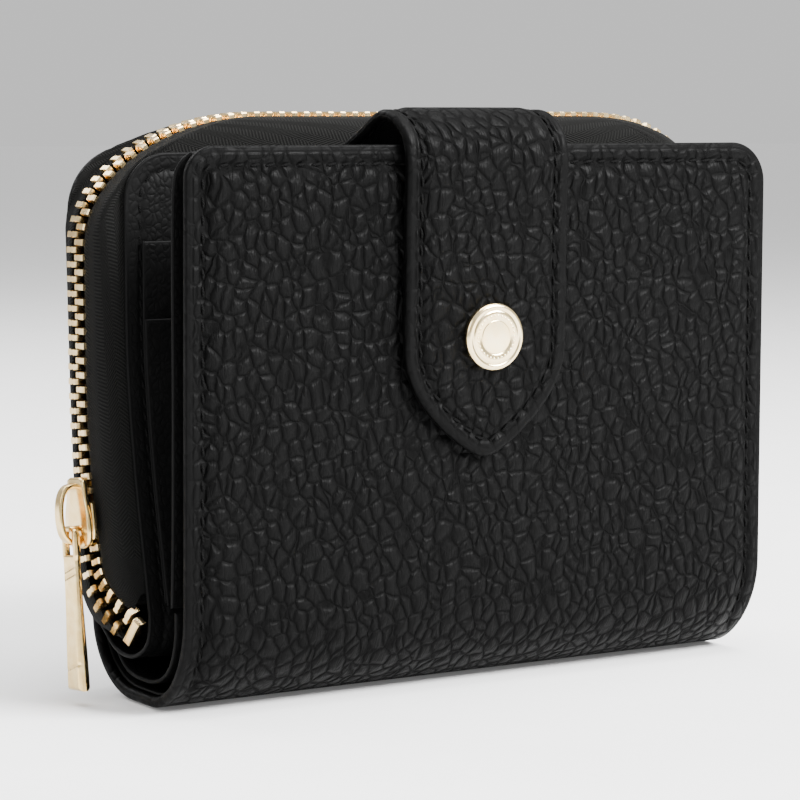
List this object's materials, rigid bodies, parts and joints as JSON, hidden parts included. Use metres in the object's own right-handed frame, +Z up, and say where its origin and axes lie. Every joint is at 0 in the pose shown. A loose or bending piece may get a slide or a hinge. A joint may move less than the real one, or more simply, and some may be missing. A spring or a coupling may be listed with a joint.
{
  "type": "zip around wallet",
  "caption": "Compact pebbled-leather wallet: front cover with card slots, bill space, zip-around coin compartment, and a snap strap over its top.",
  "frame": {"origin": "middle of the flat strip under the fold, on which the wallet stands", "axes": "+X along the wallet's width, to the right seen from the front cover; +Y from the front cover to the back; +Z up"},
  "size_m": [0.1406, 0.0454, 0.1045],
  "materials": {
    "pebbled_leather": "satin, pebbled grain, painted edges",
    "lining_leather": "matte, fine grain",
    "stiffener_board": "matte",
    "zip_tape": "matte herringbone weave",
    "zip_metal": "polished pale gold",
    "snap_metal": "polished pale gold"
  },
  "bodies": {
    "shell": {"spine_leather": "pebbled_leather", "spine_lining": "lining_leather", "back_leather": "pebbled_leather", "back_board": "stiffener_board", "back_lining": "lining_leather", "leaf_leather": "pebbled_leather", "leaf_lining": "lining_leather", "leaf_pocket_1": "lining_leather", "leaf_pocket_2": "lining_leather", "compartment_floor": "pebbled_leather", "coin_divider": "lining_leather", "gusset_left": "lining_leather", "gusset_right": "lining_leather", "zip_tape_front": "zip_tape", "zip_tape_back": "zip_tape", "zip_teeth_front": "zip_metal", "zip_teeth_back": "zip_metal", "zip_stop_left": "zip_metal", "zip_stop_right": "zip_metal", "strap_base": "pebbled_leather"},
    "front_cover": {"front_leather": "pebbled_leather", "front_board": "stiffener_board", "front_lining": "lining_leather", "card_panel": "pebbled_leather", "card_slot_1": "lining_leather", "card_slot_2": "lining_leather", "card_slot_3": "lining_leather", "snap_stud": "snap_metal"},
    "strap_tongue": {"strap_leather": "pebbled_leather", "strap_lining": "lining_leather", "snap_cap": "snap_metal", "snap_socket": "snap_metal"},
    "slider": {"slider_body": "zip_metal", "slider_bridge": "zip_metal"},
    "pull": {"zip_pull": "zip_metal"}
  },
  "joints": [
    {"name": "cover_open", "type": "hinge", "parent": "shell", "child": "front_cover", "pos_m": [0, -0.0188, 0.018], "axis": [1, 0, 0], "range_deg": [0, 52]},
    {"name": "strap_lift", "type": "hinge", "parent": "shell", "child": "strap_tongue", "pos_m": [-0.0017, -0.015, 0.1035], "axis": [-1, 0, 0], "range_deg": [0, 169], "deforming": ["strap_leather", "strap_lining"]},
    {"name": "slider_travel", "type": "slide", "parent": "shell", "child": "slider", "axis": [0, 0.0958, 0.9954], "range_m": [0, 0.03]},
    {"name": "pull_swing", "type": "hinge", "parent": "slider", "child": "pull", "pos_m": [-0.07045, 0.00911, 0.03061], "axis": [0, 1, 0], "range_deg": [-2, 125]}
  ],
  "couplings": [
    {"joint": "strap_lift", "follows": "cover_open", "ratio": 3.25}
  ]
}
